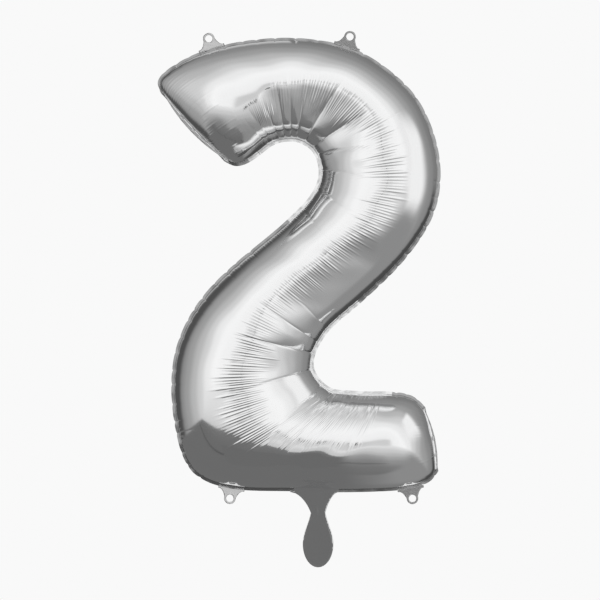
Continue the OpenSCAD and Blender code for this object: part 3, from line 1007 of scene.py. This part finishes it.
def tabs():
    """Each tab is one film that is welded between the foils and stands out past the rim, crinkled."""
    for index, ((edge, at), name) in enumerate(zip(TAB_SPOTS, TAB_NAMES)):
        controls = CROWN_C if edge == "crown" else SOLE_C
        spot = spline(controls, np.array(at))
        along = direction(controls, np.array(at))
        out = np.array([along[1], -along[0]]) * (-1 if edge == "crown" else 1)
        side = np.array([out[1], -out[0]])
        fold = spot + out * TAB_FOLD_OUT
        rng = np.random.default_rng(40 + index)
        phase = rng.uniform(0, 6.28, 6)

        def crinkle(x, y):
            free = smooth(y, 0, 9)
            wave = 0.8 * np.sin(x * 0.33 + phase[0] + y * 0.12) + 0.5 * np.sin(x * 0.71 + phase[1] - y * 0.5)
            wave += 0.45 * np.sin(y * 0.8 + phase[2] + x * 0.2) + 0.25 * np.sin((x + y) * 1.4 + phase[3])
            return free * wave * 0.9

        hole = circle(0, TAB_LENGTH - TAB_TIP_R, TAB_HOLE_R)
        piece = film_solid(f"hanging_tab_{name}", tab_outline(), TAB_T, crinkle, TAB_STEP, hole, 50 + index)
        co = np.array([v.co for v in piece.data.vertices])
        flat = (fold * MM)[None, :] + co[:, :1] * side[None, :] + co[:, 2:3] * out[None, :]
        placed = np.column_stack([flat[:, 0], co[:, 1], flat[:, 1]])
        piece.data.vertices.foreach_set("co", placed.ravel())
        piece.data.update()
        if side[0] * out[1] - side[1] * out[0] < 0:
            piece.data.flip_normals()
        give(piece, None, "clear_film", CLEAR)
        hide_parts(f"tab_anchor_{name}", f"tab_{name}")
        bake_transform(piece)


# ---- Studio ----

VIEW_MIDDLE = Vector((-0.0343, 0.0, 0.403))
VIEW_WIDTH = 1.1364
CAMERA_AWAY = 4.5


def camera():
    """Level and straight ahead, as the photo shows no tops or sides."""
    data = bpy.data.cameras.new("camera")
    data.sensor_width = 36
    data.lens = 36 * CAMERA_AWAY / VIEW_WIDTH
    data.clip_end = 50
    made = bpy.data.objects.new("camera", data)
    bpy.context.scene.collection.objects.link(made)
    made.location = VIEW_MIDDLE + Vector((0, -CAMERA_AWAY, 0))
    made.rotation_euler = (math.pi / 2, 0, 0)
    bpy.context.scene.camera = made


BACKDROP_TONE = 249


def studio():
    """Light by direction, for the foil to mirror. The camera sees only the plain backdrop."""
    world = bpy.data.worlds.new("studio")
    bpy.context.scene.world = world
    world.use_nodes = True
    sky = Tree(world.node_tree)
    sky.nodes.clear()
    x, y, z = sky.place("Generated")
    elevation = sky.times(sky.math("ARCSINE", z), 180 / math.pi)
    azimuth = sky.times(sky.math("ARCTAN2", x, sky.times(y, -1.0)), 180 / math.pi)
    off_front = sky.times(sky.math("ARCCOSINE", sky.times(y, -1.0)), 180 / math.pi)

    def patch(tone, azimuths, elevations, strength, value):
        share = sky.times(sky.band(azimuth, *azimuths), sky.band(elevation, *elevations))
        return sky.mix(sky.times(share, strength), tone, grey(value))

    level = (-60, -40, 30, 50)
    tone = sky.ramp(off_front, [
        (0, 236), (20, 248), (36, 252), (50, 240), (65, 212), (80, 188), (100, 160), (120, 141), (140, 127),
        (160, 119), (180, 124)], 0, 180)
    tone = patch(tone, (-164, -150, -134, -116), level, 0.85, 66)
    tone = patch(tone, (-181, -180, -168, -158), level, 0.6, 225)
    tone = patch(tone, (-15, -7, 8, 16), (-14, -7, 2, 9), 0.4, 150)
    ground = sky.ramp(elevation, [
        (-90, 114), (-66, 126), (-46, 148), (-36, 167), (-28, 187), (-20, 206), (-8, 232)], -90, 0)
    aside = sky.times(sky.step(azimuth, 28, 66), sky.step(elevation, -4, -36))
    ground = sky.mix(aside, ground, grey(142))
    hookside = sky.times(sky.step(azimuth, -22, -42), sky.step(elevation, -20, -46))
    ground = sky.mix(hookside, ground, grey(116))
    ground = sky.mix(sky.step(elevation, -9, -5), ground, 1.0)
    tone = sky.math("MINIMUM", tone, ground)
    tone = patch(tone, (132, 142, 160, 176), (-44, -32, -8, 2), 0.8, 50)
    light = sky.nodes.new("ShaderNodeBackground")
    sky.links.new(tone, light.inputs["Color"])
    seen = sky.nodes.new("ShaderNodeBackground")
    seen.inputs["Color"].default_value = (grey(BACKDROP_TONE),) * 3 + (1,)
    path = sky.nodes.new("ShaderNodeLightPath")
    sky.shade(path.outputs["Is Camera Ray"], light, seen, sky.nodes.new("ShaderNodeOutputWorld"))
    bpy.context.scene.view_settings.view_transform = "Standard"


FLOOR_DROP, FLOOR_R, FLOOR_SIDES = 500, 1500, 96
FLOOR_GLOW = 0.42


def floor():
    """A plain pale floor half a metre under the balloon, which the foil doesn't mirror."""
    points = circle(0, 0, FLOOR_R, FLOOR_SIDES)
    low_z = cad_low.z / MM - FLOOR_DROP
    made = mesh_object("floor", [(x, y, low_z) for x, y in points], [list(range(FLOOR_SIDES))])
    material, tree, shader = new_material("pale_floor")
    tree.colour(shader, tree.noise(6.0, 3.0), (0.86,) * 3, (0.90,) * 3)
    shader.inputs["Roughness"].default_value = 0.9
    shader.inputs["Emission Color"].default_value = (1, 1, 1, 1)
    shader.inputs["Emission Strength"].default_value = FLOOR_GLOW
    made.data.materials.append(material)
    made.visible_glossy = False


TABLE_Z = -160.0
TABLE = [(-1250, 1600), (-1290, -560), (-620, -920), (-130, -890), (210, -540), (210, 1600)]
TABLE_GAP = [(-1200, -345), (-1200, -372), (210, -300), (210, -272)]
LOW_CARD_X, LOW_CARD_Y, LOW_CARD_Z = (-260.0, 95.0), -200.0, (-158.0, 55.0)
SIDE_LIGHT_X, SIDE_LIGHT_Y, SIDE_LIGHT_Z = 750.0, (-680.0, 120.0), (180.0, 1180.0)
UPRIGHT_X, UPRIGHT_Y, UPRIGHT_Z = (60.7, 170.7), -2100.0, (150.0, 440.0)


def standing(x, y, z):
    """Corners of an upright card across the view."""
    return [(x[0], y, z[0]), (x[1], y, z[0]), (x[1], y, z[1]), (x[0], y, z[1])]


def glow_card(name, corners, tones, tone_span, fades):
    """A card seen only in the foil, with a tone at each end of a span in Y. It fades along given axes."""
    made = mesh_object(name, corners, [list(range(len(corners)))])
    material, tree, shader = new_material(name)
    tree.nodes.remove(shader)
    place = tree.place("Object")
    glow = tree.nodes.new("ShaderNodeEmission")
    tone = tree.spread(place["Y"], [grey(t) for t in tones], [y * MM for y in tone_span])
    tree.links.new(tone, glow.inputs["Color"])
    kept = 1.0
    for axis, gone, full in fades:
        kept = tree.times(kept, tree.step(place[axis], gone * MM, full * MM))
    tree.shade(kept, tree.nodes.new("ShaderNodeBsdfTransparent"), glow, tree.nodes["Material Output"])
    made.data.materials.append(material)
    made.visible_camera = made.visible_diffuse = made.visible_shadow = made.visible_transmission = False


def reflected_cards():
    """A grey table with a dark gap, a low card before the neck, and a soft light to the right."""
    fade_right = [("X", 210, 40)]
    right = LOW_CARD_X[1]
    glow_card("low_card", standing(LOW_CARD_X, LOW_CARD_Y, LOW_CARD_Z), (107, 107), (-1, 1),
              [("X", right, right - 60)])
    glow_card("grey_table", [(x, y, TABLE_Z) for x, y in TABLE], (121, 109), (-900, -450), fade_right)
    glow_card("table_gap", [(x, y, TABLE_Z + 1) for x, y in TABLE_GAP], (88, 88), (-900, -450), fade_right)
    (y0, y1), (z0, z1), x = SIDE_LIGHT_Y, SIDE_LIGHT_Z, SIDE_LIGHT_X
    glow_card("side_light", [(x, y0, z0), (x, y1, z0), (x, y1, z1), (x, y0, z1)], (246, 246), (-1, 1),
              [("Y", y0, y0 + 260), ("Y", y1, y1 - 260), ("Z", z0, z0 + 300), ("Z", z1, z1 - 300)])


def photographer():
    """A dark upright shape by the camera, which the foil mirrors."""
    made = mesh_object("dark_upright", standing(UPRIGHT_X, UPRIGHT_Y, UPRIGHT_Z), [[0, 1, 2, 3]])
    material, _, shader = new_material("dark_card")
    shader.inputs["Base Color"].default_value = (0.02, 0.02, 0.02, 1)
    shader.inputs["Emission Color"].default_value = (grey(24),) * 3 + (1,)
    shader.inputs["Emission Strength"].default_value = 1.0
    made.data.materials.append(material)
    made.visible_camera = made.visible_shadow = made.visible_diffuse = False


camera()
studio()
floor()
reflected_cards()
photographer()
body_foils()
neck_and_tail()
valve()
tabs()
still_nodes()

bpy.context.view_layer.update()
